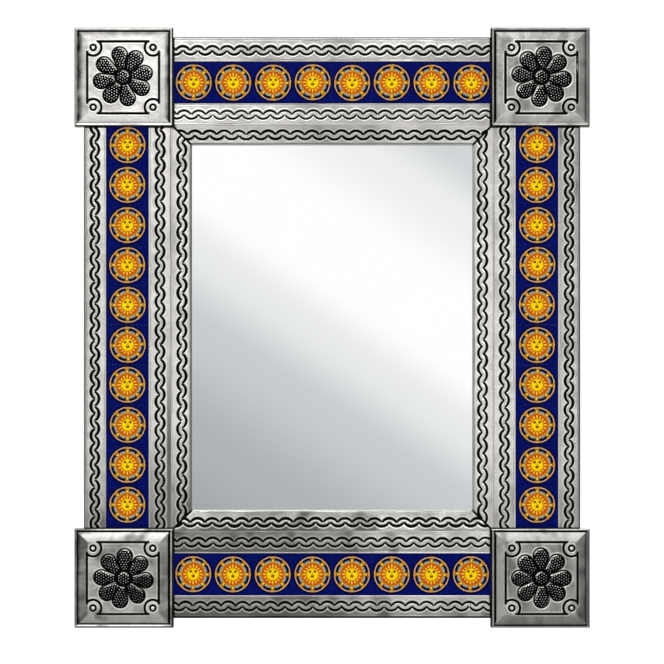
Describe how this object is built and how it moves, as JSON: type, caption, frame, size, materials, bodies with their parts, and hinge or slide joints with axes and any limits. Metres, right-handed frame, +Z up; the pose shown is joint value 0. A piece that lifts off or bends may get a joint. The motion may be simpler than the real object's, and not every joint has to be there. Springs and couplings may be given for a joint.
{
  "type": "tile framed wall mirror",
  "caption": "Rectangular wall mirror in a folded, punched tin frame set with small glazed sun tiles, with square embossed corner caps and wire hanging rings.",
  "frame": {"origin": "middle of the back plate's rear face, on the plane of the wall", "axes": "+Z up, +X to the viewer's right, +Y into the wall; the front faces -Y"},
  "size_m": [0.6538, 0.0278, 0.7612],
  "materials": {
    "tile_glaze": "gloss glaze, cobalt ground with a yellow and orange sun medallion",
    "tin_bar": "punched tin with a dark patina in the grooves",
    "tin_moulding": "punched tin with a dark patina in the grooves",
    "tin_cap": "embossed tin with a blackened, stippled rosette",
    "mirror": "silvered float glass",
    "board": "plain",
    "tin_back": "dull tin, soldered",
    "ring_wire": "drawn wire"
  },
  "bodies": {
    "frame": {"tile_top_1": "tile_glaze", "tile_top_2": "tile_glaze", "tile_top_3": "tile_glaze", "tile_top_4": "tile_glaze", "tile_top_5": "tile_glaze", "tile_top_6": "tile_glaze", "tile_top_7": "tile_glaze", "tile_top_8": "tile_glaze", "tile_bottom_1": "tile_glaze", "tile_bottom_2": "tile_glaze", "tile_bottom_3": "tile_glaze", "tile_bottom_4": "tile_glaze", "tile_bottom_5": "tile_glaze", "tile_bottom_6": "tile_glaze", "tile_bottom_7": "tile_glaze", "tile_bottom_8": "tile_glaze", "tile_left_1": "tile_glaze", "tile_left_2": "tile_glaze", "tile_left_3": "tile_glaze", "tile_left_4": "tile_glaze", "tile_left_5": "tile_glaze", "tile_left_6": "tile_glaze", "tile_left_7": "tile_glaze", "tile_left_8": "tile_glaze", "tile_left_9": "tile_glaze", "tile_left_10": "tile_glaze", "tile_right_1": "tile_glaze", "tile_right_2": "tile_glaze", "tile_right_3": "tile_glaze", "tile_right_4": "tile_glaze", "tile_right_5": "tile_glaze", "tile_right_6": "tile_glaze", "tile_right_7": "tile_glaze", "tile_right_8": "tile_glaze", "tile_right_9": "tile_glaze", "tile_right_10": "tile_glaze", "outer_channel_top": "tin_bar", "outer_channel_bottom": "tin_bar", "outer_channel_left": "tin_bar", "outer_channel_right": "tin_bar", "inner_strip_top": "tin_bar", "inner_strip_bottom": "tin_bar", "inner_strip_left": "tin_bar", "inner_strip_right": "tin_bar", "inner_moulding_top": "tin_moulding", "inner_moulding_bottom": "tin_moulding", "inner_moulding_left": "tin_moulding", "inner_moulding_right": "tin_moulding", "corner_cap_top_left": "tin_cap", "corner_cap_top_right": "tin_cap", "corner_cap_bottom_left": "tin_cap", "corner_cap_bottom_right": "tin_cap", "mirror_glass": "mirror", "backing_board": "board", "back_plate": "tin_back", "glass_tabs": "tin_back", "hanger_strap_left": "tin_back", "hanger_strap_right": "tin_back"},
    "left_ring": {"hanger_ring_left": "ring_wire"},
    "right_ring": {"hanger_ring_right": "ring_wire"}
  },
  "joints": [
    {"name": "left_ring_swing", "type": "hinge", "parent": "frame", "child": "left_ring", "pos_m": [-0.13, -0.00995, 0.32525], "axis": [1, 0, 0], "range_deg": [0, 180]},
    {"name": "right_ring_swing", "type": "hinge", "parent": "frame", "child": "right_ring", "pos_m": [0.13, -0.00995, 0.32525], "axis": [1, 0, 0], "range_deg": [0, 180]}
  ]
}
